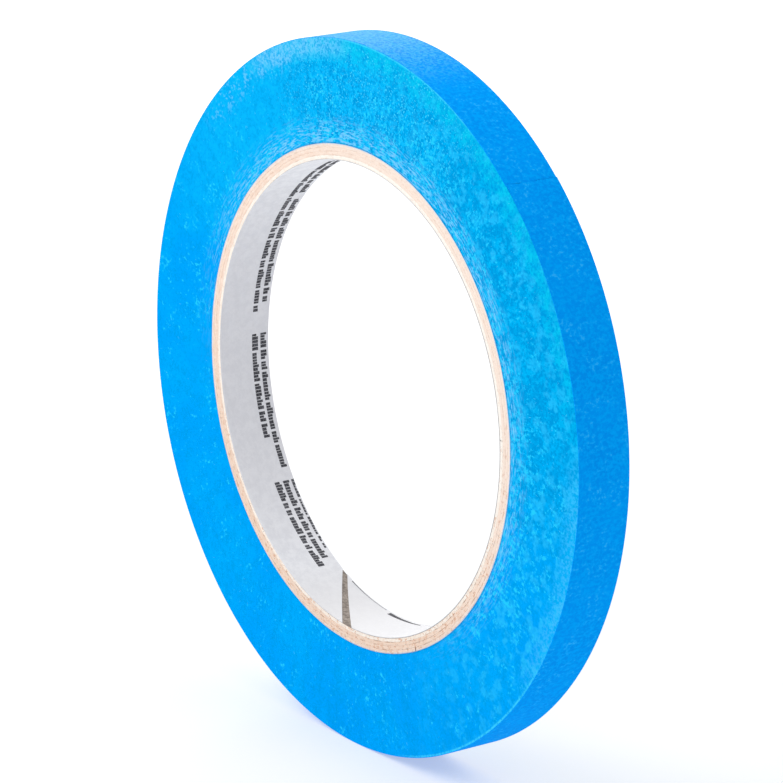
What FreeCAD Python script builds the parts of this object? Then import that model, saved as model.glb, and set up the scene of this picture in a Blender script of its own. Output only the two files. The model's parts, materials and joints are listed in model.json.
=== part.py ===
"""Narrow roll of masking tape on a spirally wound board core.

Frame: the origin is on the axis of the bore, half way across the tape's width.
+Y runs along the axis of the roll, +Z is up, and the roll stands on its edge.
Angles go round the axis from +X towards +Z, in degrees. Lengths are in mm.
"""
import FreeCAD, Part
import math
import os

# Driving dimensions
BORE_DIAMETER = 76.2        # the standard 3 inch core
ROLL_DIAMETER = 115.0       # over the outermost turn, at the tape's free end
TAPE_WIDTH = 9.5
CORE_WALL = 2.64            # printed liner and four board plies, glued together
LINER_THICKNESS = 0.12
BOARD_PLIES = ("core_inner_ply", "core_second_ply", "core_third_ply", "core_outer_ply")

# The tape: thin crepe paper with a coat of adhesive on its inner side
BACKING_THICKNESS = 0.06
ADHESIVE_THICKNESS = 0.04

# Butt seams of the core's plies: paper strips wound side by side at one helix angle
SEAM_RUN = 14.6             # how far a seam goes round the core while it crosses the width
LINER_SEAM_ANGLE = 256.0    # where the liner's seam crosses the middle of the width
LINER_GAP_FAR = 0.8         # width of the liner's open seam at the +Y face, across the seam
LINER_GAP_NEAR = 1.4        # the same at the -Y face
BOARD_GAP = 0.10            # a board ply's seam is a tight butt joint
SEAM_STAGGER = 97.0         # turn from one ply's seam to the next ply's

# The free end: the last stretch of the outermost turn, eased up ready to be pulled
END_ANGLE = 47.0            # where the tape's cut end lies
FREE_LENGTH = 25.0          # stretch of tape that lifts
ROOT_CLEARANCE = 0.05       # gap under the stretch where it leaves the roll
RELAXATION = 2.7            # how much wider than the roll the lifted stretch curves

# Derived sizes
TAPE_THICKNESS = BACKING_THICKNESS + ADHESIVE_THICKNESS
BORE_RADIUS = BORE_DIAMETER / 2
CORE_RADIUS = BORE_RADIUS + CORE_WALL
OUTER_RADIUS = ROLL_DIAMETER / 2
PLY_THICKNESS = (CORE_WALL - LINER_THICKNESS) / len(BOARD_PLIES)
NEAR_Y = -TAPE_WIDTH / 2
ROOT_TURN = math.degrees(FREE_LENGTH / OUTER_RADIUS)
QUARTER = 90.0
FULL_TURN = 360.0


def radial(angle):
    """Unit vector across the roll, pointing away from its axis at this angle."""
    return FreeCAD.Vector(math.cos(math.radians(angle)), 0, math.sin(math.radians(angle)))


def forward(angle):
    """Unit vector round the roll at this angle, in the direction of growing angles."""
    return radial(angle + QUARTER)


def across_width(wire):
    """Solid of the closed outline, which lies in the XZ plane, over the tape's whole width."""
    outline = Part.Face(wire)
    outline.translate(FreeCAD.Vector(0, NEAR_Y, 0))
    return outline.extrude(FreeCAD.Vector(0, TAPE_WIDTH, 0))


def disc(radius):
    """Solid disc as wide as the tape, on the roll's axis."""
    return Part.makeCylinder(radius, TAPE_WIDTH, FreeCAD.Vector(0, NEAR_Y, 0), FreeCAD.Vector(0, 1, 0))


# Core

def seam_cutter(angle, radius, gap_far, gap_near):
    """Wedge that opens an oblique butt seam through a ply of this radius."""
    overrun = 1.5
    half_run = SEAM_RUN / 2 * overrun
    half_width = TAPE_WIDTH / 2 * overrun
    slant = math.hypot(SEAM_RUN, TAPE_WIDTH) / TAPE_WIDTH
    middle = radial(angle) * (radius - CORE_WALL)
    corners = []
    for run, side, gap in ((-half_run, half_width, gap_far), (half_run, -half_width, gap_near)):
        for edge in (-1, 1):
            round_core = run + edge * gap * slant / 2
            corners.append(middle + forward(angle) * round_core + FreeCAD.Vector(0, side, 0))
    outline = Part.makePolygon([corners[0], corners[1], corners[3], corners[2], corners[0]])
    return Part.Face(outline).extrude(radial(angle) * 2 * CORE_WALL)


def ply(inner_radius, thickness, seam_angle, gap_far, gap_near):
    """One paper ply of the core, a ring that is open at its oblique seam."""
    ring = disc(inner_radius + thickness).cut(disc(inner_radius))
    return ring.cut(seam_cutter(seam_angle, inner_radius, gap_far, gap_near))


def core_plies():
    """The printed liner and the board plies over it, by node name."""
    plies = {
        "core_liner": ply(BORE_RADIUS, LINER_THICKNESS, LINER_SEAM_ANGLE, LINER_GAP_FAR, LINER_GAP_NEAR)
    }
    for number, name in enumerate(BOARD_PLIES):
        inner_radius = BORE_RADIUS + LINER_THICKNESS + number * PLY_THICKNESS
        seam_angle = LINER_SEAM_ANGLE + (number + 1) * SEAM_STAGGER
        plies[name] = ply(inner_radius, PLY_THICKNESS, seam_angle, BOARD_GAP, BOARD_GAP)
    return plies


# Wound tape. Turns are counted back into the roll from the cut end, and a spiral is four arcs a
# turn, each a quarter of a tape thickness smaller than the last and tangent to it.

def quarter_centre(quarter):
    """Centre of the arcs in this quarter, counted back from the cut end."""
    step = TAPE_THICKNESS / 4
    centre = (radial(END_ANGLE) + radial(END_ANGLE + QUARTER)) * (-step / 2)
    for number in range(quarter):
        centre = centre + radial(END_ANGLE - QUARTER * (number + 1)) * step
    return centre


def spiral_point(back, depth, quarter):
    """Point on the spiral, back degrees from the cut end and depth tape thicknesses down."""
    radius = OUTER_RADIUS - TAPE_THICKNESS * (depth + quarter / 4)
    return quarter_centre(quarter) + radial(END_ANGLE - back) * radius


def spiral_edges(start, depth):
    """Arcs of the spiral from start degrees back from the cut end, for the rest of that turn."""
    edges = []
    for quarter in range(4):
        first = max(start, quarter * QUARTER)
        last = (quarter + 1) * QUARTER
        ends = [spiral_point(back, depth, quarter) for back in (first, (first + last) / 2, last)]
        edges.append(Part.Arc(*ends).toShape())
    return edges


def wound_tape():
    """All the turns under the outermost one, with the step where that one goes under the end."""
    step = Part.LineSegment(spiral_point(FULL_TURN, 1, 3), spiral_point(0, 1, 0)).toShape()
    return across_width(Part.Wire(spiral_edges(0, 1) + [step])).cut(disc(CORE_RADIUS))


def outer_turn():
    """The outermost turn, from the free stretch back to where it goes under the cut end."""
    outside = spiral_edges(ROOT_TURN, 0)
    inside = spiral_edges(ROOT_TURN, 1)
    free_side = Part.LineSegment(spiral_point(ROOT_TURN, 0, 0), spiral_point(ROOT_TURN, 1, 0)).toShape()
    buried_side = Part.LineSegment(
        spiral_point(FULL_TURN, 0, 3), spiral_point(FULL_TURN, 1, 3)
    ).toShape()
    return across_width(Part.Wire(outside + [buried_side] + inside[::-1] + [free_side]))


def free_layer(depth, thickness):
    """One layer of the free stretch, depth under its outer face."""
    root_angle = END_ANGLE - ROOT_TURN
    curl_radius = OUTER_RADIUS + ROOT_CLEARANCE + RELAXATION
    centre = radial(root_angle) * -RELAXATION
    gap = math.degrees(ROOT_CLEARANCE / curl_radius)
    start = root_angle + gap
    end = start + math.degrees(FREE_LENGTH / curl_radius)
    arcs = []
    for radius in (curl_radius - depth, curl_radius - depth - thickness):
        points = [centre + radial(angle) * radius for angle in (start, (start + end) / 2, end)]
        arcs.append((Part.Arc(*points).toShape(), points))
    (outer, outer_points), (inner, inner_points) = arcs
    tip = Part.LineSegment(outer_points[2], inner_points[2]).toShape()
    root = Part.LineSegment(inner_points[0], outer_points[0]).toShape()
    return across_width(Part.Wire([outer, tip, inner, root]))


def roll_parts():
    """Every solid of the roll, by node name."""
    parts = core_plies()
    parts["wound_tape"] = wound_tape()
    parts["outer_turn"] = outer_turn()
    parts["free_end_backing"] = free_layer(0, BACKING_THICKNESS)
    parts["free_end_adhesive"] = free_layer(BACKING_THICKNESS, ADHESIVE_THICKNESS)
    return parts


os.makedirs("parts", exist_ok=True)
for node, shape in roll_parts().items():
    shape.exportStep(f"parts/{node}.step")
    print(f"{node}: {len(shape.Solids)} solid, {shape.Volume:.2f} mm3, valid {shape.isValid()}")

hinge = radial(END_ANGLE - ROOT_TURN) * (OUTER_RADIUS + ROOT_CLEARANCE)
print(f"peel line at x {hinge.x:.3f}, z {hinge.z:.3f}")
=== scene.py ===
import json
import math
import random

import bmesh
import bpy
from mathutils import Matrix, Vector, noise


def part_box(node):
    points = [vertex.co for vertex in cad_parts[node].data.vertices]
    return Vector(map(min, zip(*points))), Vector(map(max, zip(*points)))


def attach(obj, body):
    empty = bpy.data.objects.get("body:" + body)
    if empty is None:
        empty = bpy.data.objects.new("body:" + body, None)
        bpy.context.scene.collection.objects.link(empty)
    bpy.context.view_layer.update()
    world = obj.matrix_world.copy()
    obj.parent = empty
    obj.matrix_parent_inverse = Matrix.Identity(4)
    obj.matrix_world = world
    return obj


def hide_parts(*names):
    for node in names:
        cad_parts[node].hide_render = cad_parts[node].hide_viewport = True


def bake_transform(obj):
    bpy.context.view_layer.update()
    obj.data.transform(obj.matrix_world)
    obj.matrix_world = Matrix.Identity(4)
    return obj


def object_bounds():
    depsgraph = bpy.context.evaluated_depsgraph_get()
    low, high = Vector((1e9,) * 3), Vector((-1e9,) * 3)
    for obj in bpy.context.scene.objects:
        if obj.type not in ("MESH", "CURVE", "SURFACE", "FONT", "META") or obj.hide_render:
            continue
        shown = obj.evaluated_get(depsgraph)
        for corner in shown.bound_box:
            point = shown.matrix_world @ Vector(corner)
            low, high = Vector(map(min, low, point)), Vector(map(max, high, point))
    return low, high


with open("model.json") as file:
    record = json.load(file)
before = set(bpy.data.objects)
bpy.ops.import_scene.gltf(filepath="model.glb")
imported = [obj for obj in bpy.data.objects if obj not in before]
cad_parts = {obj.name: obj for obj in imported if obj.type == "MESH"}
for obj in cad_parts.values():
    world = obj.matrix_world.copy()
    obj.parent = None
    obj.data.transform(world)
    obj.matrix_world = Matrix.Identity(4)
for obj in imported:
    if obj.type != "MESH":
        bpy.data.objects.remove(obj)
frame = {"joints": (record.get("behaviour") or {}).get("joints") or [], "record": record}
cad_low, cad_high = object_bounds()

# The roll stands on its edge: its axis is Y, its near face looks to -Y and Z is up.
# Angles go round the axis from +X towards +Z. Lengths are in metres unless a name ends in _MM.

MM = 0.001
TAU = math.tau

# Sizes read from the frame
record = frame["record"]
bore = next(mount for mount in record["mounts"] if mount["name"] == "core_bore")
peel = next(joint for joint in frame["joints"] if joint["name"] == "free_end_peel")
BORE_RADIUS = bore["dims"]["r_mm"] * MM
HALF_WIDTH = bore["dims"]["length_mm"] * MM / 2
PEEL_LINE = Vector(peel["pos_m"])


def reach(node):
    """Outer radius of a CAD ring that is centred on the roll's axis."""
    low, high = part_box(node)
    return (high.x - low.x) / 2


LINER_RADIUS = reach("core_liner")
CORE_RADIUS = reach("core_outer_ply")
PLY = (CORE_RADIUS - LINER_RADIUS) / 4

# The tape
TAPE = 0.1 * MM
BACKING = 0.06 * MM
ROOT_CLEARANCE = 0.05 * MM              # of the CAD free end over the turn below it
ROLL_RADIUS = math.hypot(PEEL_LINE.x, PEEL_LINE.z) - ROOT_CLEARANCE
ROOT_ANGLE = math.atan2(PEEL_LINE.z, PEEL_LINE.x)
FREE_LENGTH = 25 * MM
RELAXATION = 0.5 * MM                   # how much wider than the roll the free stretch curves
END_ANGLE = ROOT_ANGLE + FREE_LENGTH / ROLL_RADIUS
CORNER_LIFT = 0.06 * MM                 # extra lift of the free end's near corner
EDGE_INSET = 0.012 * MM                 # of the last turn's edges and the lint from the flat sides
CREPE_DEPTH = 0.004 * MM                # of the fine waves on the outermost turn
GLUE_INSET = 0.03 * MM                  # of the free end's adhesive from its paper's edges
RAGGED_MM = 0.16                        # unevenness of the cut end
FUZZ_MM = 0.07                          # finer unevenness of the cut end

# The core's seams
SEAM_RUN = 14.6 * MM
LINER_SEAM = math.radians(256)
LINER_GAP_FAR = 0.8 * MM
LINER_GAP_NEAR = 1.4 * MM
BOARD_GAP = 0.1 * MM
SEAM_STAGGER = math.radians(97)
COCKLE = 0.012 * MM                     # height of the liner's slight waves
FRAY = 0.035 * MM                       # depth of the torn fibres on a ply's cut end
SLOW_FRAY = 0.02 * MM                   # depth of their slower waves round the core

# How finely the pieces are meshed
SHARP_DEGREES = 50
LINER_STATIONS = 300
PLY_STATIONS = 540
WOUND_RINGS = 150
WOUND_STATIONS = 300
TURN_STATIONS = 560
TURN_STEPS = 8
FREE_STATIONS = 90
FREE_STEPS = 48

LINT_COUNT = 900                        # flecks on each flat side
LINT_STEPS = 5                          # along each fleck

# Seeds of the random draws
PRINT_SEED = 41
TURNS_SEED = 7
NEAR_LINT_SEED = 11
FAR_LINT_SEED = 12


# Mesh tools

def polar(radius, angle, y):
    """Point at this radius and angle round the roll's axis."""
    return (radius * math.cos(angle), y, radius * math.sin(angle))


def smoothstep(value, low, high):
    """0 below low, 1 above high, and a smooth rise between them."""
    share = min(1.0, max(0.0, (value - low) / (high - low)))
    return share * share * (3 - 2 * share)


def new_piece(name, points, faces, material):
    """Smooth-shaded mesh object with its normals facing out."""
    mesh = bpy.data.meshes.new(name)
    mesh.from_pydata(points, [], faces)
    shaped = bmesh.new()
    shaped.from_mesh(mesh)
    bmesh.ops.recalc_face_normals(shaped, faces=shaped.faces)
    shaped.to_mesh(mesh)
    shaped.free()
    mesh.polygons.foreach_set("use_smooth", [True] * len(mesh.polygons))
    mesh.set_sharp_from_angle(angle=math.radians(SHARP_DEGREES))
    mesh.materials.append(material)
    piece = bpy.data.objects.new(name, mesh)
    bpy.context.scene.collection.objects.link(piece)
    return piece


def loft(loops, closed):
    """Points and faces of a closed skin through equal loops of points."""
    size = len(loops[0])
    points = [point for loop in loops for point in loop]
    faces = []
    spans = len(loops) if closed else len(loops) - 1
    for span in range(spans):
        here = span * size
        there = (span + 1) % len(loops) * size
        for corner in range(size):
            after = (corner + 1) % size
            faces.append((here + corner, there + corner, there + after, here + after))
    if not closed:
        last = (len(loops) - 1) * size
        faces.append(tuple(range(size)))
        faces.append(tuple(last + corner for corner in reversed(range(size))))
    return points, faces


def spaced(low, high, steps):
    """Evenly spaced values from low to high, both included."""
    return [low + (high - low) * step / steps for step in range(steps + 1)]


def ring_section(inner, outer, corner, radial_steps, axial_steps):
    """Outline of a ring's cross-section as (radius, y), with its corners rounded off."""
    edge = HALF_WIDTH - corner
    turn = corner * (1 - math.sqrt(0.5))
    outline = [(radius, -HALF_WIDTH) for radius in spaced(inner + corner, outer - corner, radial_steps)]
    outline.append((outer - turn, -HALF_WIDTH + turn))
    outline += [(outer, y) for y in spaced(-edge, edge, axial_steps)]
    outline.append((outer - turn, HALF_WIDTH - turn))
    outline += [(radius, HALF_WIDTH) for radius in spaced(outer - corner, inner + corner, radial_steps)]
    outline.append((inner + turn, HALF_WIDTH - turn))
    outline += [(inner, y) for y in spaced(edge, -edge, axial_steps)]
    outline.append((inner + turn, -HALF_WIDTH + turn))
    return outline


# Materials

class Paint:
    """A material and short calls for its nodes. Node distances are in millimetres."""

    def __init__(self, name, **settings):
        self.material = bpy.data.materials.new(name)
        self.material.use_nodes = True
        self.tree = self.material.node_tree
        self.shader = self.tree.nodes["Principled BSDF"]
        for socket, value in settings.items():
            self.shader.inputs[socket.replace("_", " ")].default_value = value

    def node(self, kind, inputs, output=0, **settings):
        """Adds a node, sets or links its inputs by name or number, and returns one output."""
        made = self.tree.nodes.new("ShaderNode" + kind)
        for key, value in settings.items():
            setattr(made, key, value)
        for key, value in inputs.items():
            if isinstance(value, bpy.types.NodeSocket):
                self.tree.links.new(value, made.inputs[key])
            else:
                made.inputs[key].default_value = value
        return made.outputs[output]

    def math(self, operation, first, second=0.0, third=0.0):
        return self.node("Math", {0: first, 1: second, 2: third}, operation=operation)

    def times(self, first, second):
        return self.math("MULTIPLY", first, second)

    def vector(self, operation, first, second=(0, 0, 0), output=0):
        return self.node("VectorMath", {0: first, 1: second}, output, operation=operation)

    def scaled(self, vector, factor):
        return self.node("VectorMath", {0: vector, "Scale": factor}, operation="SCALE")

    def noise(self, vector, scale, detail=2.0, roughness=0.5):
        inputs = {"Vector": vector, "Scale": scale, "Detail": detail, "Roughness": roughness}
        return self.node("TexNoise", inputs)

    def ramp(self, value, low, high, start=0.0, end=1.0):
        """Smooth rise of value between low and high, from start to end."""
        inputs = {"Value": value, "From Min": low, "From Max": high, "To Min": start, "To Max": end}
        return self.node("MapRange", inputs, interpolation_type="SMOOTHSTEP")

    def mix(self, factor, first, second):
        """Mixes two colours."""
        return self.node("Mix", {0: factor, 6: first, 7: second}, 2, data_type="RGBA")

    def place(self):
        """Object coordinates in millimetres."""
        return self.scaled(self.node("TexCoord", {}, "Object"), 1 / MM)

    def round_axis(self):
        """Radius in millimetres, and the unit vector away from the roll's axis."""
        apart = self.node("SeparateXYZ", {0: self.place()}).node.outputs
        flat = self.node("CombineXYZ", {0: apart[0], 1: 0.0, 2: apart[2]})
        return self.vector("LENGTH", flat, output=1), self.vector("NORMALIZE", flat)

    def wrapped(self, round_scale, radial_scale):
        """Noise coordinates with no seam: round the roll, and along its radius."""
        radius, unit = self.round_axis()
        rise = self.node("CombineXYZ", {0: 0.0, 1: self.times(radius, radial_scale), 2: 0.0})
        return self.vector("ADD", self.scaled(unit, round_scale), rise)

    def towards(self, degrees):
        """1 where the surface lies towards this angle round the roll, -1 opposite."""
        aim = (math.cos(math.radians(degrees)), 0, math.sin(math.radians(degrees)))
        return self.vector("DOT_PRODUCT", self.round_axis()[1], aim, 1)

    def finish(self, colour, height=None, depth_mm=0.02, roughness=None):
        """Links the colour, the bump and the roughness to the shader."""
        self.tree.links.new(colour, self.shader.inputs["Base Color"])
        if height is not None:
            bump = self.node("Bump", {"Strength": 1.0, "Distance": depth_mm * MM, "Height": height})
            self.tree.links.new(bump, self.shader.inputs["Normal"])
        if roughness is not None:
            self.tree.links.new(roughness, self.shader.inputs["Roughness"])
        return self.material


AZURE = (0.0, 0.395, 0.96, 1)
AZURE_DEEP = (0.0, 0.355, 0.95, 1)
AZURE_CYAN = (0.0, 0.435, 0.87, 1)
AZURE_SHADE = (0.0, 0.305, 0.70, 1)
AZURE_GREEN = (0.003, 0.55, 0.84, 1)
AZURE_LIGHT = (0.003, 0.485, 0.955, 1)
AZURE_PALE = (0.018, 0.600, 0.98, 1)
AZURE_SOFT = (0.024, 0.545, 0.97, 1)
# Painted highlight on the rim's edge
AZURE_EDGE_HIGHLIGHT = (0.045, 0.62, 0.97, 1)
AZURE_DOT = (0.06, 0.68, 0.98, 1)
LAVENDER = (0.165, 0.575, 0.96, 1)
GLUE_SHADOW = (0.0, 0.17, 0.50, 1)


def slit_side_paint():
    """The roll's flat sides: the slit edges of all the turns, with pale paper fibres."""
    paint = Paint("slit_tape_edges", Roughness=0.85, Specular_IOR_Level=0.0)
    radius, _ = paint.round_axis()
    broad = paint.ramp(paint.noise(paint.place(), 0.09, 3.0), 0.35, 0.65)
    colour = paint.mix(broad, AZURE_DEEP, AZURE)

    # The right half is greener, greenest in blotches along the upper rim. The top is lighter.
    right = paint.ramp(paint.towards(50), 0.2, 0.85)
    colour = paint.mix(right, colour, AZURE_CYAN)
    top = paint.ramp(paint.towards(112), 0.60, 0.97, 0.0, 0.8)
    colour = paint.mix(top, colour, AZURE_LIGHT)
    streaks = paint.noise(paint.wrapped(57.0, 0.15), 0.5, 3.0, 0.6)
    patches = paint.noise(paint.place(), 0.42, 4.0, 0.6)
    uneven = paint.math("MULTIPLY_ADD", streaks, 0.4, paint.times(patches, 0.6))
    blotches = paint.ramp(uneven, 0.44, 0.58)
    rim = paint.ramp(radius, 51.5, 56.5)
    upper_rim = paint.times(paint.ramp(paint.towards(66), 0.35, 0.90), rim)
    clear = paint.math("MULTIPLY_ADD", blotches, -0.4, 1.0)
    colour = paint.mix(paint.times(upper_rim, clear), colour, AZURE_GREEN)
    # Fewer dark and soft blotches and fewer flecks along the upper rim
    less_at_upper_rim = paint.math("MULTIPLY_ADD", upper_rim, -0.45, 1.0)

    # Darker blotches and grain
    grains = paint.noise(paint.place(), 2.2, 3.0, 0.6)
    dark = paint.math("MULTIPLY_ADD", blotches, 0.6, paint.ramp(grains, 0.54, 0.40, 0.0, 0.8))
    dark = paint.times(dark, paint.ramp(right, 0.0, 1.0, 0.45, 1.0))
    colour = paint.mix(paint.times(dark, less_at_upper_rim), colour, AZURE_SHADE)

    # Soft pale blotches at the right
    soft = paint.ramp(paint.noise(paint.place(), 0.55, 3.0, 0.5), 0.48, 0.68, 0.0, 0.55)
    soft = paint.times(soft, paint.ramp(paint.towards(8), 0.0, 0.8))
    colour = paint.mix(paint.times(soft, less_at_upper_rim), colour, AZURE_SOFT)

    # Paper fibres pulled out by the knife, in radial dashes: densest beside the core, and dense
    # at the lower and upper right
    low_right = paint.ramp(paint.towards(-26), 0.74, 0.98, 0.0, 0.5)
    top_right = paint.ramp(paint.towards(82), 0.62, 0.97)
    mid_right = paint.ramp(paint.towards(30), 0.1, 0.7)
    core_zone = paint.times(paint.ramp(radius, 46.0, 41.0), paint.ramp(paint.towards(60), -0.7, 0.4))
    inward = paint.ramp(radius, 56.0, 48.0)
    upper = paint.times(paint.math("ADD", top_right, mid_right), inward)
    density = paint.math("MULTIPLY_ADD", upper, 0.49, low_right)
    density = paint.math("ADD", density, core_zone)
    strewn = paint.ramp(paint.noise(paint.place(), 0.13, 3.0, 0.6), 0.45, 0.62, 0.38, 0.72)
    density = paint.math("MAXIMUM", density, strewn)
    clumps = paint.ramp(paint.noise(paint.place(), 0.50, 3.0, 0.6), 0.36, 0.62, 0.20, 1.45)
    density = paint.times(paint.times(density, clumps), less_at_upper_rim)
    dashes = paint.noise(paint.wrapped(57.0, 0.5), 1.5, 3.0, 0.6)
    speck = paint.math("MULTIPLY_ADD", dashes, 0.45, paint.times(grains, 0.55))
    sparse = paint.ramp(density, 0.0, 1.3, 0.64, 0.48)
    flecks = paint.ramp(paint.math("SUBTRACT", speck, sparse), -0.01, 0.12)
    colour = paint.mix(paint.times(flecks, 0.95), colour, AZURE_PALE)

    # Small light dots at the top
    dots = paint.ramp(paint.noise(paint.place(), 3.0, 2.0, 0.5), 0.59, 0.66)
    dots = paint.times(dots, paint.ramp(paint.towards(84), 0.82, 0.97))
    colour = paint.mix(paint.times(dots, paint.ramp(patches, 0.40, 0.60, 0.3, 1.0)), colour, AZURE_DOT)

    # Scuffed arcs beside the core, and paler scuffs at the top of the rim
    arcs = paint.noise(paint.wrapped(22.0, 2.6), 1.3, 3.0, 0.6)
    scuffs = paint.times(core_zone, paint.ramp(arcs, 0.47, 0.64))
    heavy = paint.ramp(paint.towards(78), 0.5, 1.0, 0.9, 1.5)
    scuffs = paint.times(scuffs, paint.times(heavy, paint.ramp(patches, 0.40, 0.60, 0.6, 1.3)))
    colour = paint.mix(scuffs, colour, LAVENDER)
    patch = paint.times(paint.ramp(paint.towards(106), 0.96, 0.995), paint.ramp(radius, 53.5, 56.0))
    colour = paint.mix(paint.times(patch, paint.ramp(grains, 0.38, 0.64, 0.1, 0.85)), colour, LAVENDER)
    torn = paint.times(paint.ramp(paint.towards(121), 0.95, 0.985), paint.ramp(radius, 52.0, 55.0))
    torn = paint.times(torn, paint.ramp(paint.math("ADD", patches, grains), 1.06, 1.18, 0.0, 0.6))
    colour = paint.mix(torn, colour, LAVENDER)
    # A painted highlight along the lower right of the rim, with pale specks in it
    rim_highlight_and_specks = paint.times(paint.ramp(radius, 53.0, 57.0), paint.ramp(paint.towards(-17), 0.91, 0.985))
    colour = paint.mix(paint.times(rim_highlight_and_specks, 0.5), colour, AZURE_LIGHT)
    colour = paint.mix(paint.times(rim_highlight_and_specks, paint.ramp(grains, 0.38, 0.64, 0.0, 0.25)), colour, LAVENDER)
    # A painted highlight on the rim's edge at the lower right and at the top, where the cut corner of
    # the last turn catches light
    low_edge_highlight = paint.ramp(paint.towards(-54), 0.90, 0.97)
    high_edge_highlight = paint.ramp(paint.towards(76), 0.93, 0.98)
    edge_highlight = paint.math("ADD", low_edge_highlight, high_edge_highlight)
    edge_highlight = paint.times(edge_highlight, paint.ramp(radius, 56.95, 57.2))
    colour = paint.mix(paint.times(edge_highlight, paint.ramp(grains, 0.36, 0.56, 0.3, 0.9)), colour, AZURE_EDGE_HIGHLIGHT)

    # A painted shadow where the tape meets the core, strongest at the right
    core_shadow = paint.ramp(radius, CORE_RADIUS / MM + 0.35, CORE_RADIUS / MM + 0.08)
    gap = paint.times(core_shadow, paint.ramp(paint.towards(25), -0.6, 0.6, 0.1, 0.55))
    colour = paint.mix(gap, colour, GLUE_SHADOW)

    turns = paint.noise(paint.wrapped(4.0, 4.5), 1.0, 4.0, 0.7)
    height = paint.math("ADD", paint.times(turns, 0.3), paint.times(flecks, 0.6))
    return paint.finish(colour, height, 0.03)


TREAD_BLUE = (0.0, 0.305, 0.93, 1)
TREAD_DEEP = (0.0, 0.285, 0.89, 1)
TREAD_LIGHT = (0.0, 0.365, 0.98, 1)
TREAD_PALE = (0.03, 0.44, 0.985, 1)
# Painted sheen for the top of the tread
TREAD_SHEEN = (0.11, 0.52, 0.97, 1)


def backing_paint():
    """The outside of the tape: matt dyed paper with faint flecks, and a painted sheen that makes its
    top paler.
    """
    paint = Paint("tape_backing", Specular_IOR_Level=0.012)
    broad = paint.ramp(paint.noise(paint.place(), 0.12, 3.0), 0.35, 0.65)
    colour = paint.mix(broad, TREAD_DEEP, TREAD_BLUE)
    apart = paint.node("SeparateXYZ", {0: paint.place()}).node.outputs
    across = paint.node("CombineXYZ", {1: paint.times(apart[1], 0.6)})
    dashes = paint.noise(paint.vector("ADD", paint.wrapped(57.0, 0.0), across), 1.8, 4.0, 0.6)
    grains = paint.noise(paint.place(), 2.0, 4.0, 0.65)
    fine = paint.math("MULTIPLY_ADD", dashes, 0.5, paint.times(grains, 0.5))
    colour = paint.mix(paint.ramp(fine, 0.43, 0.57), colour, TREAD_LIGHT)
    sparse = paint.ramp(paint.noise(paint.place(), 0.28, 3.0), 0.42, 0.62)
    flecks = paint.times(paint.ramp(fine, 0.53, 0.63), sparse)
    colour = paint.mix(paint.times(flecks, 0.85), colour, TREAD_PALE)

    # Matt all round but at the top, where handling has rubbed it smoother; a painted sheen makes it
    # paler there
    rubbed_and_sheen = paint.ramp(paint.towards(96), 0.88, 0.99)
    bare = paint.ramp(grains, 0.42, 0.60, 0.0, 0.65)
    colour = paint.mix(paint.times(rubbed_and_sheen, bare), colour, TREAD_SHEEN)
    rough = paint.ramp(fine, 0.3, 0.7, 0.85, 1.0)
    roughness = paint.math("MULTIPLY_ADD", rubbed_and_sheen, -0.37, rough)
    return paint.finish(colour, fine, 0.03, roughness)


ADHESIVE_DEEP = (0.02, 0.36, 0.80, 1)
ADHESIVE_PALE = (0.05, 0.46, 0.88, 1)


def adhesive_paint():
    """The tape's inner side: a thin tacky coat over the paper."""
    paint = Paint("tape_adhesive", Specular_IOR_Level=0.4, Coat_Weight=0.25, Coat_Roughness=0.25)
    blotches = paint.noise(paint.place(), 0.8, 4.0, 0.6)
    colour = paint.mix(paint.ramp(blotches, 0.35, 0.7), ADHESIVE_DEEP, ADHESIVE_PALE)
    roughness = paint.ramp(blotches, 0.3, 0.7, 0.35, 0.6)
    return paint.finish(colour, paint.noise(paint.place(), 3.0, 3.0), 0.02, roughness)


CREAM_PALE = (0.985, 0.92, 0.84, 1)
CREAM_DARK = (0.90, 0.79, 0.69, 1)
# Painted light, for the upper right of the cream ply
CREAM_LIT = (0.985, 0.94, 0.88, 1)
TAN_PALE = (0.94, 0.77, 0.66, 1)
TAN_DARK = (0.86, 0.65, 0.53, 1)
# Painted light, for the upper right of the tan plies
TAN_LIT = (0.93, 0.80, 0.71, 1)
OUTER_PALE = (0.93, 0.78, 0.69, 1)
OUTER_DARK = (0.84, 0.66, 0.57, 1)
# How strong the painted shade is at the lower left of the cream and the tan plies
CREAM_SHADE_STRENGTH = 0.12
TAN_SHADE_STRENGTH = 0.4
BOARD_BRIGHT = (0.97, 0.92, 0.86, 1)
# Brown of the painted shade at the lower left of each ply
BOARD_SHADE = (0.74, 0.53, 0.39, 1)
BOARD_SPECK = (0.70, 0.43, 0.30, 1)
BOARD_GREY = (0.45, 0.43, 0.38, 1)
BOARD_GLUE = (0.38, 0.22, 0.14, 1)
BOARD_DYED = (0.42, 0.66, 0.88, 1)
INSIDE_DARK = (0.19, 0.16, 0.14, 1)
INSIDE_BROWN = (0.38, 0.33, 0.29, 1)


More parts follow.
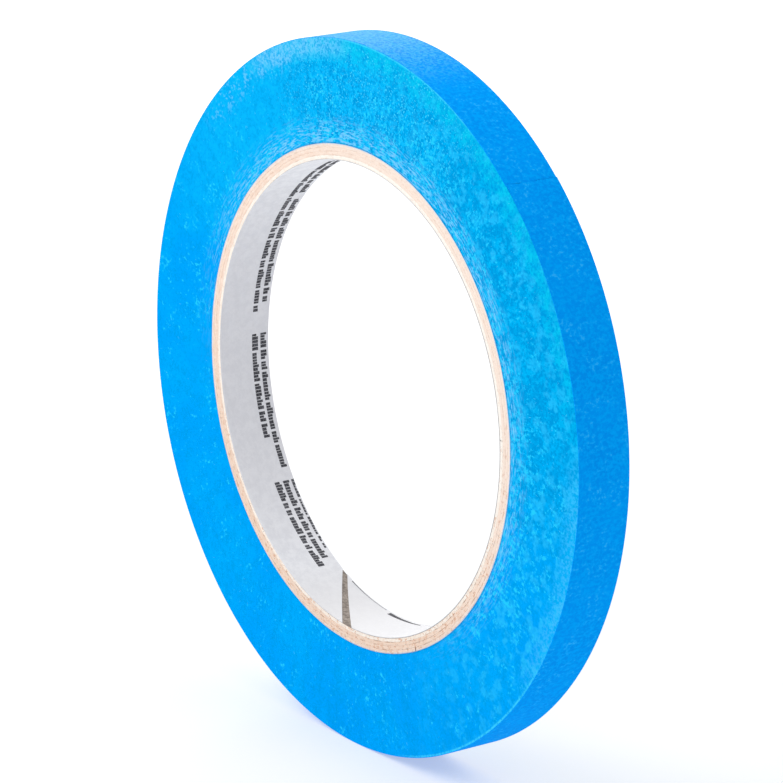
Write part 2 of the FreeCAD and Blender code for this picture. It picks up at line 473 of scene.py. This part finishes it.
def board_paint(name, pale, dark, lit_tone, shade_strength):
    """Cut edge of a core ply: pressed fibres along the winding, with brown and grey specks."""
    paint = Paint(name, Roughness=0.9, Specular_IOR_Level=0.1)
    radius, _ = paint.round_axis()
    along = paint.noise(paint.wrapped(26.0, 3.2), 1.0, 5.0, 0.65)
    colour = paint.mix(paint.ramp(along, 0.35, 0.68), dark, pale)
    bright = paint.ramp(paint.noise(paint.place(), 3.5, 3.0, 0.6), 0.56, 0.70)
    colour = paint.mix(paint.times(bright, 0.6), colour, BOARD_BRIGHT)

    # A painted highlight at the upper right, and painted shade at the lower left, where it is also more
    # specked
    colour = paint.mix(paint.ramp(paint.towards(40), 0.1, 0.9, 0.0, 0.65), colour, lit_tone)
    lower_left_shade = paint.ramp(paint.towards(-110), 0.0, 0.9, 0.0, shade_strength)
    colour = paint.mix(lower_left_shade, colour, BOARD_SHADE)
    low = paint.ramp(paint.towards(-85), -0.3, 0.8, 0.25, 1.0)
    specks = paint.ramp(paint.noise(paint.wrapped(38.0, 1.2), 1.4, 3.0, 0.7), 0.54, 0.66)
    colour = paint.mix(paint.times(specks, low), colour, BOARD_SPECK)
    greys = paint.ramp(paint.noise(paint.place(), 2.1, 3.0, 0.65), 0.63, 0.68)
    colour = paint.mix(paint.times(greys, low), colour, BOARD_GREY)

    # Glue shows in dashes where two plies meet, and the tape's dye on the rim.
    steps = paint.math("DIVIDE", paint.math("SUBTRACT", radius, LINER_RADIUS / MM), PLY / MM)
    apart = paint.math("PINGPONG", steps, 0.5)
    glue = paint.times(paint.ramp(apart, 0.14, 0.04), paint.ramp(along, 0.48, 0.38, 0.0, 0.8))
    colour = paint.mix(paint.times(glue, low), colour, BOARD_GLUE)
    dyed = paint.times(paint.ramp(radius, CORE_RADIUS / MM - 0.35, CORE_RADIUS / MM), 0.6)
    colour = paint.mix(paint.times(dyed, paint.ramp(along, 0.30, 0.60)), colour, BOARD_DYED)
    # Under the liner, which its seam shows, the board is brown with glue and darkened by painted shade
    inside = paint.ramp(radius, LINER_RADIUS / MM + 0.05, LINER_RADIUS / MM + 0.015)
    mottled = paint.ramp(paint.noise(paint.place(), 1.4, 4.0, 0.7), 0.35, 0.65)
    glue_in_shade = paint.mix(mottled, INSIDE_DARK, INSIDE_BROWN)
    colour = paint.mix(inside, colour, glue_in_shade)
    return paint.finish(colour, along, 0.05)


LINER_DULL = (0.73, 0.735, 0.77, 1)
LINER_WHITE = (0.83, 0.835, 0.865, 1)
LINER_FIBRE = (0.62, 0.62, 0.66, 1)
# Painted shade for the left of the bore and for its bottom
LINER_LEFT_SHADE = (0.62, 0.61, 0.65, 1)
LINER_BOTTOM_SHADE = (0.66, 0.65, 0.66, 1)
LINER_CUT = (0.34, 0.32, 0.30, 1)


def liner_paint():
    """White paper with a faint formation and a few fibres, with painted shade at the left and the
    bottom; its cut edges are grey.
    """
    paint = Paint("liner_paper", Roughness=0.6, Specular_IOR_Level=0.3)
    cloud = paint.noise(paint.place(), 0.7, 5.0, 0.75)
    colour = paint.mix(paint.ramp(cloud, 0.36, 0.64), LINER_DULL, LINER_WHITE)
    fibres = paint.ramp(paint.noise(paint.wrapped(38.0, 0.0), 3.5, 3.0, 0.7), 0.64, 0.75)
    colour = paint.mix(paint.times(fibres, 0.25), colour, LINER_FIBRE)
    # Painted shade: darker on the left of the bore and at its bottom
    side = paint.ramp(paint.towards(185), 0.3, 1.0, 0.0, 0.45)
    colour = paint.mix(side, colour, LINER_LEFT_SHADE)
    bottom_shade = paint.ramp(paint.towards(268), 0.86, 1.0, 0.0, 0.8)
    colour = paint.mix(bottom_shade, colour, LINER_BOTTOM_SHADE)
    apart = paint.node("SeparateXYZ", {0: paint.place()}).node.outputs
    edge = HALF_WIDTH / MM
    cut = paint.ramp(paint.math("ABSOLUTE", apart[1]), edge - 0.05, edge - 0.02)
    bare = paint.ramp(paint.towards(-5), 0.0, 0.9, 0.1, 0.6)
    colour = paint.mix(paint.times(cut, bare), colour, LINER_CUT)
    return paint.finish(colour, paint.noise(paint.place(), 2.5, 4.0, 0.6), 0.015)


INK_BLACK = (0.025, 0.025, 0.03, 1)
INK_THIN = (0.16, 0.16, 0.18, 1)


def ink_paint():
    """Black ink that has taken unevenly on the paper."""
    paint = Paint("liner_ink", Roughness=0.7, Specular_IOR_Level=0.2)
    patchy = paint.ramp(paint.noise(paint.place(), 4.0, 3.0, 0.7), 0.35, 0.75)
    return paint.finish(paint.mix(patchy, INK_BLACK, INK_THIN))


LINT_DEEP = (0.02, 0.52, 0.95, 1)
LINT_PALE = (0.10, 0.64, 0.97, 1)


def fibre_paint():
    """Pale blue paper lint."""
    paint = Paint("paper_lint", Roughness=0.9, Specular_IOR_Level=0.1)
    tone = paint.noise(paint.place(), 0.7, 2.0)
    return paint.finish(paint.mix(paint.ramp(tone, 0.35, 0.65), LINT_DEEP, LINT_PALE))


# Core

def seam_angle(middle, y, radius):
    """Where an oblique seam through the core lies at this y."""
    return middle - SEAM_RUN / 2 / radius * (y / HALF_WIDTH)


def seamed_ring(name, outline, middle, gap_far, gap_near, steps, shape, material):
    """Ring that is open along one oblique seam. shape(radius, angle, y) moves each point."""
    slant = math.hypot(SEAM_RUN, 2 * HALF_WIDTH) / (2 * HALF_WIDTH)
    loops = []
    for step in range(steps + 1):
        loop = []
        for radius, y in outline:
            share = 0.5 + y / HALF_WIDTH / 2
            gap = (gap_near + (gap_far - gap_near) * share) * slant / radius
            start = seam_angle(middle, y, radius) + gap / 2
            angle = start + (TAU - gap) * step / steps
            loop.append(polar(*shape(radius, angle, y)))
        loops.append(loop)
    return new_piece(name, *loft(loops, closed=False), material)


def liner_shape(radius, angle, y):
    """The printed liner cockles very slightly, away from its glued edges."""
    across = 1 - (y / HALF_WIDTH) ** 2
    cockle = noise.noise(Vector((math.cos(angle) * 5, y / (4 * MM), math.sin(angle) * 5)))
    return radius + COCKLE * across * cockle, angle, y


def board_shape(seed):
    """Cut ends of one board ply, torn up a little by the slitting knife."""
    def shape(radius, angle, y):
        if abs(y) < HALF_WIDTH * 0.95:
            return radius, angle, y
        spot = Vector((math.cos(angle) * 90, radius / (0.25 * MM) + seed, math.sin(angle) * 90))
        wave = Vector((math.cos(angle) * 9, seed, math.sin(angle) * 9))
        sunk = FRAY * (0.6 + 0.5 * noise.noise(spot)) + SLOW_FRAY * (0.5 + noise.noise(wave))
        return radius, angle, y - math.copysign(sunk, y)
    return shape


def make_core():
    """The liner and the board plies, each in the place of its CAD node."""
    section = ring_section(BORE_RADIUS, LINER_RADIUS, 0.02 * MM, 1, 24)
    liner = seamed_ring(
        "printed_liner", section, LINER_SEAM, LINER_GAP_FAR, LINER_GAP_NEAR, LINER_STATIONS,
        liner_shape, liner_paint(),
    )
    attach(liner, "roll")
    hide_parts("core_liner")

    cream = board_paint("core_board_cream", CREAM_PALE, CREAM_DARK, CREAM_LIT, CREAM_SHADE_STRENGTH)
    tan = board_paint("core_board_tan", TAN_PALE, TAN_DARK, TAN_LIT, TAN_SHADE_STRENGTH)
    outer_tan = board_paint("core_board_outer", OUTER_PALE, OUTER_DARK, TAN_LIT, TAN_SHADE_STRENGTH)
    plies = (
        ("core_inner_ply", "core_board_cream", cream),
        ("core_second_ply", "core_board_tan", tan),
        ("core_third_ply", "core_board_tan", tan),
        ("core_outer_ply", "core_board_cream", outer_tan),
    )
    inner = LINER_RADIUS
    for number, (node, slot_name, material) in enumerate(plies):
        outer = reach(node)
        middle = LINER_SEAM + (number + 1) * SEAM_STAGGER
        section = ring_section(inner, outer, 0.06 * MM, 5, 10)
        piece = seamed_ring(
            node.replace("core", "board"), section, middle, BOARD_GAP, BOARD_GAP, PLY_STATIONS,
            board_shape(number * 7.3), material,
        )
        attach(piece, "roll")
        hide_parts(node)
        inner = outer


# Generic print on the liner: rows of plain upright blocks in the place of letters, with nothing
# to read. Each group is (first angle, last angle, rows). A row is (distance of its middle from the
# far edge in mm, block height in mm, how many degrees before the group's last angle it stops).
FIRST_SHORT = ((1.0, 1.15, 2.5), (2.65, 1.15, 0.0))
SECOND_SHORT = ((1.0, 1.15, 0.0), (2.65, 1.15, 8.0))
THREE_ROWS = ((0.35, 0.5, 6.0), (1.65, 1.2, 3.0), (3.3, 1.2, 1.0))
PRINT_GROUPS = (
    (114, 136, FIRST_SHORT),
    (137, 172, FIRST_SHORT),
    (178, 212, SECOND_SHORT),
    (216, 242, THREE_ROWS),
    (292, 326, SECOND_SHORT),
    (332, 365, FIRST_SHORT),
    (372, 398, THREE_ROWS),
    (406, 440, SECOND_SHORT),
    (447, 469, FIRST_SHORT),
)
# Plain rules, which taper: (first angle, last angle, distance of the middle from the far edge in
# mm, first height in mm, last height in mm)
PRINT_RULES = (
    (249, 264, 0.28, 0.14, 0.06),
    (266, 279, 0.75, 0.75, 0.2),
)


def ink_bar(first, last, from_edge, heights, steps):
    """Flat bar of ink on the liner between two angles, from one height to another: points and faces."""
    loops = []
    for share in spaced(0.0, 1.0, steps):
        angle = first + (last - first) * share
        half = (heights[0] + (heights[1] - heights[0]) * share) / 2
        low = HALF_WIDTH - (from_edge + half) * MM
        high = min(low + 2 * half * MM, HALF_WIDTH - 0.06 * MM)
        loop = []
        for y, depth in ((low, -0.02), (high, -0.02), (high, 0.03), (low, 0.03)):
            radius, turned, moved = liner_shape(BORE_RADIUS, angle, y)
            loop.append(polar(radius + depth * MM, turned, moved))
        loops.append(loop)
    return loft(loops, closed=False)


def make_print():
    """All the rows and rules, as one piece on the liner."""
    rng = random.Random(PRINT_SEED)
    bars = []
    for first, last, rows in PRINT_GROUPS:
        for from_edge, height, short in rows:
            angle = math.radians(first)
            stop = math.radians(last - short)
            left_in_word = rng.randint(3, 9)
            while angle < stop:
                width = rng.uniform(0.34, 0.56) * MM / BORE_RADIUS
                tall = height * rng.choice((0.72, 0.78, 1.0))
                middle = from_edge + (height - tall) / 2
                bars.append(ink_bar(angle, angle + width, middle, (tall, tall), 1))
                left_in_word -= 1
                gap = rng.uniform(0.06, 0.10)
                if left_in_word == 0:
                    gap = 0.42
                    left_in_word = rng.randint(2, 9)
                angle += width + gap * MM / BORE_RADIUS
    for first, last, from_edge, first_height, last_height in PRINT_RULES:
        heights = (first_height, last_height)
        bars.append(ink_bar(math.radians(first), math.radians(last), from_edge, heights, last - first))

    points = []
    faces = []
    for bar_points, bar_faces in bars:
        faces += [tuple(index + len(points) for index in face) for face in bar_faces]
        points += bar_points
    piece = new_piece("liner_print_blocks", points, faces, ink_paint())
    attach(piece, "roll")


# Wound tape

def turn_radius(back):
    """Outer radius of the tape's outermost turn, back radians before the cut end."""
    return ROLL_RADIUS - TAPE * back / TAU


def make_wound_tape(sides, backing):
    """All the turns but the last, with the slit edges of the turns as fine uneven rings."""
    rng = random.Random(TURNS_SEED)
    wander = [rng.uniform(-1, 1) for _ in range(WOUND_RINGS + 1)]
    outer = ROLL_RADIUS - TAPE
    radii = spaced(CORE_RADIUS, outer, WOUND_RINGS)

    def sunk(ring, angle):
        """How far this ring's edge lies inside the roll's flat side."""
        radius = radii[ring]
        strong = 1 - smoothstep(radius, CORE_RADIUS + 1 * MM, CORE_RADIUS + 4 * MM)
        slow = Vector((math.cos(angle) * 2.2, radius / (1.3 * MM), math.sin(angle) * 2.2))
        broad = Vector((math.cos(angle) * radius, 40.0 * MM, math.sin(angle) * radius)) / (9 * MM)
        fine = 0.5 + 0.5 * wander[ring]
        depth = 0.006 + 0.006 * fine + 0.010 * (0.5 + 0.5 * noise.noise(broad))
        depth += (0.006 + 0.02 * strong) * fine * (0.5 + 0.5 * noise.noise(slow))
        return depth * MM

    loops = []
    for station in range(WOUND_STATIONS):
        back = TAU * station / (WOUND_STATIONS - 1)
        angle = END_ANGLE - back
        shrink = TAPE * back / TAU
        loop = []
        for ring, radius in enumerate(radii):
            share = (radius - CORE_RADIUS) / (outer - CORE_RADIUS)
            loop.append(polar(radius - shrink * share, angle, -HALF_WIDTH + sunk(ring, angle)))
        edge = HALF_WIDTH - 0.05 * MM
        loop += [polar(outer - shrink, angle, y) for y in spaced(-edge, edge, 4)]
        for ring in reversed(range(WOUND_RINGS + 1)):
            share = (radii[ring] - CORE_RADIUS) / (outer - CORE_RADIUS)
            turned = sunk(ring, angle + 1.7)
            loop.append(polar(radii[ring] - shrink * share, angle, HALF_WIDTH - turned))
        loop += [polar(CORE_RADIUS, angle, y) for y in spaced(edge, -edge, 2)]
        loops.append(loop)
    piece = new_piece("wound_turns", *loft(loops, closed=True), sides)
    piece.data.materials.append(backing)
    for face in piece.data.polygons:
        if abs(face.normal.y) < 0.5 and face.center.xz.length > ROLL_RADIUS - 3 * TAPE:
            face.material_index = 1
    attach(piece, "roll")
    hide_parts("wound_tape")


def tape_loop(radius, angle, edge):
    """Cross-section of one thickness of tape at this angle."""
    heights = spaced(-edge, edge, TURN_STEPS)
    loop = [polar(radius, angle, y) for y in heights]
    loop += [polar(radius - TAPE, angle, y) for y in reversed(heights)]
    return loop


def make_outer_turn(material):
    """The outermost turn, from the free stretch back to where it goes under the cut end."""
    root_back = END_ANGLE - ROOT_ANGLE
    loops = []
    for station in range(TURN_STATIONS + 1):
        back = root_back + (TAU - root_back) * station / TURN_STATIONS
        angle = END_ANGLE - back
        wave = noise.noise(Vector((math.cos(angle) * 6, 3.1, math.sin(angle) * 6)))
        crepe = noise.noise(Vector((math.cos(angle) * 55, 9.4, math.sin(angle) * 55)))
        radius = turn_radius(back) - CREPE_DEPTH * (1 + crepe)
        loops.append(tape_loop(radius, angle, HALF_WIDTH - EDGE_INSET * (1 + wave)))
    piece = new_piece("outermost_turn", *loft(loops, closed=False), material)
    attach(piece, "roll")
    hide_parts("outer_turn")


def free_layer(name, node, depth, thickness, inset, material):
    """One layer of the free stretch, which curves a little off the roll."""
    edge = HALF_WIDTH - EDGE_INSET - inset
    heights = spaced(-edge, edge, FREE_STEPS)

    def tip(y):
        """Length of the stretch at this y: the cut is a little ragged."""
        ragged = noise.noise(Vector((y / (1.1 * MM), 2.0, 0.0)))
        fuzz = noise.noise(Vector((y / (0.3 * MM), 5.0, 0.0)))
        return FREE_LENGTH + (RAGGED_MM * ragged + FUZZ_MM * fuzz) * MM - inset

    def point(share, y, sink):
        run = tip(y) * share
        turned = run / ROLL_RADIUS
        angle = ROOT_ANGLE + turned
        near_corner = smoothstep(share, 0.8, 1.0) * smoothstep(-y, 0.0, HALF_WIDTH)
        lift = RELAXATION * (1 - math.cos(turned)) + CORNER_LIFT * near_corner
        return polar(turn_radius(END_ANGLE - angle) + lift - sink, angle, y)

    loops = []
    for share in spaced(0.0, 1.0, FREE_STATIONS):
        loop = [point(share, y, depth) for y in heights]
        loop += [point(share, y, depth + thickness) for y in reversed(heights)]
        loops.append(loop)
    piece = new_piece(name, *loft(loops, closed=False), material)
    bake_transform(piece)
    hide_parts(node)


def lint(name, side, count, seed, material):
    """Flecks of paper lint left on one flat side of the roll by the slitting knife."""
    rng = random.Random(seed)
    points = []
    faces = []
    placed = 0
    while placed < count:
        angle = rng.uniform(0, TAU)
        radius = math.sqrt(rng.uniform(CORE_RADIUS ** 2, (ROLL_RADIUS - 1 * MM) ** 2))
        right = 0.5 + 0.5 * math.cos(angle - math.radians(48))
        near_core = 1 - smoothstep(radius, CORE_RADIUS + 1 * MM, CORE_RADIUS + 5 * MM)
        if rng.random() > 0.08 + 0.55 * right ** 2 + 0.5 * near_core * (0.3 + 0.7 * right):
            continue
        placed += 1
        length = rng.uniform(0.25, 0.9) * MM
        half = rng.uniform(0.03, 0.07) * MM
        lean = rng.gauss(0.0, 0.45) + (math.pi / 2 if rng.random() < near_core * 0.7 else 0.0)
        bow = rng.uniform(-0.25, 0.25)
        rise = rng.uniform(0.01, 0.03) * MM
        first = len(points)
        for step in range(1, LINT_STEPS):
            share = step / LINT_STEPS
            width = half * math.sin(math.pi * share)
            run = length * (share - 0.5)
            heading = lean + bow * (share - 0.5) * 2
            centre_r = radius + run * math.cos(heading)
            centre_a = angle + run * math.sin(heading) / radius
            top = rise * math.sin(math.pi * share)
            offset_r = -math.sin(heading) * width
            offset_a = math.cos(heading) * width / radius
            for part, height in ((-1, -0.03 * MM), (0, top), (1, -0.03 * MM)):
                y = side * (HALF_WIDTH - EDGE_INSET + height)
                points.append(polar(centre_r + part * offset_r, centre_a + part * offset_a, y))
        rows = LINT_STEPS - 1
        for row in range(rows - 1):
            here = first + row * 3
            for corner in range(3):
                after = (corner + 1) % 3
                faces.append((here + corner, here + 3 + corner, here + 3 + after, here + after))
        faces.append((first, first + 1, first + 2))
        last = first + (rows - 1) * 3
        faces.append((last + 2, last + 1, last))
    piece = new_piece(name, points, faces, material)
    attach(piece, "roll")


def make_tape():
    """The wound turns, the outermost turn, the free end and the lint."""
    backing = backing_paint()
    make_wound_tape(slit_side_paint(), backing)
    make_outer_turn(backing)
    free_layer("free_end_paper", "free_end_backing", 0.0, BACKING, 0.0, backing)
    free_layer(
        "free_end_glue", "free_end_adhesive", BACKING, TAPE - BACKING, GLUE_INSET,
        adhesive_paint(),
    )
    fibre = fibre_paint()
    lint("near_side_lint", -1, LINT_COUNT, NEAR_LINT_SEED, fibre)
    lint("far_side_lint", 1, LINT_COUNT, FAR_LINT_SEED, fibre)


# Camera, lights and floor

CAMERA_AZIMUTH = math.radians(54.35)
CAMERA_ELEVATION = math.radians(15.9)
CAMERA_DISTANCE = 0.665
CAMERA_LENS_MM = 193.3
AIM_RIGHT = 2.1 * MM
AIM_UP = 0.57 * MM
SENSOR_MM = 36
FLOOR_HALF = 3.0
FLOOR_GLOW = 0.40
FLOOR_DULL = (0.56, 0.56, 0.56, 1)
FLOOR_PALE = (0.59, 0.59, 0.59, 1)
SURROUND = (0.97, 0.985, 1.0, 1)
SURROUND_STRENGTH = 0.50
# Kind, name, place, energy and spread of each lamp
LAMPS = (
    ("SUN", "top_light", (-0.2, 0.1, 1.0), 1.45, 2.4),
    ("AREA", "back_light", (-0.52, 0.38, 0.24), 1.15, 0.25),
    ("AREA", "front_light", (-0.20, -0.40, 0.42), 1.2, 0.4),
)


def make_camera():
    """Long lens to the right of the near face, a little above the roll."""
    back = Vector((
        math.sin(CAMERA_AZIMUTH) * math.cos(CAMERA_ELEVATION),
        -math.cos(CAMERA_AZIMUTH) * math.cos(CAMERA_ELEVATION),
        math.sin(CAMERA_ELEVATION),
    ))
    right = Vector((0, 0, 1)).cross(back).normalized()
    up = back.cross(right)
    data = bpy.data.cameras.new("camera")
    data.lens = CAMERA_LENS_MM
    data.sensor_width = SENSOR_MM
    camera = bpy.data.objects.new("camera", data)
    bpy.context.scene.collection.objects.link(camera)
    camera.matrix_world = Matrix((right, up, back)).transposed().to_4x4()
    camera.location = back * CAMERA_DISTANCE + right * AIM_RIGHT + up * AIM_UP
    bpy.context.scene.camera = camera


def lamp(kind, name, place, energy, spread):
    """Soft light from this place towards the roll. A wide spread softens its shadows."""
    data = bpy.data.lights.new(name, kind)
    data.energy = energy
    if kind == "SUN":
        data.angle = spread
    else:
        data.size = spread
    made = bpy.data.objects.new(name, data)
    bpy.context.scene.collection.objects.link(made)
    made.location = place
    made.rotation_mode = "QUATERNION"
    made.rotation_quaternion = Vector(place).to_track_quat("Z", "Y")


def make_stage():
    """Pale floor that glows a little, a plain surround and soft lamps."""
    half = FLOOR_HALF
    z = cad_low.z
    corners = [(-half, -half, z), (half, -half, z), (half, half, z), (-half, half, z)]
    paint = Paint("floor", Roughness=0.9, Specular_IOR_Level=0.0, Emission_Strength=FLOOR_GLOW)
    tone = paint.noise(paint.place(), 0.004, 2.0)
    paint.finish(paint.mix(tone, FLOOR_DULL, FLOOR_PALE))
    floor = new_piece("floor", corners, [(0, 1, 2, 3)], paint.material)

    world = bpy.data.worlds.new("surround")
    world.use_nodes = True
    world.node_tree.nodes["Background"].inputs["Color"].default_value = SURROUND
    world.node_tree.nodes["Background"].inputs["Strength"].default_value = SURROUND_STRENGTH
    bpy.context.scene.world = world

    for settings in LAMPS:
        lamp(*settings)
    bpy.context.scene.view_settings.view_transform = "Standard"


make_camera()
make_stage()
make_core()
make_print()
make_tape()
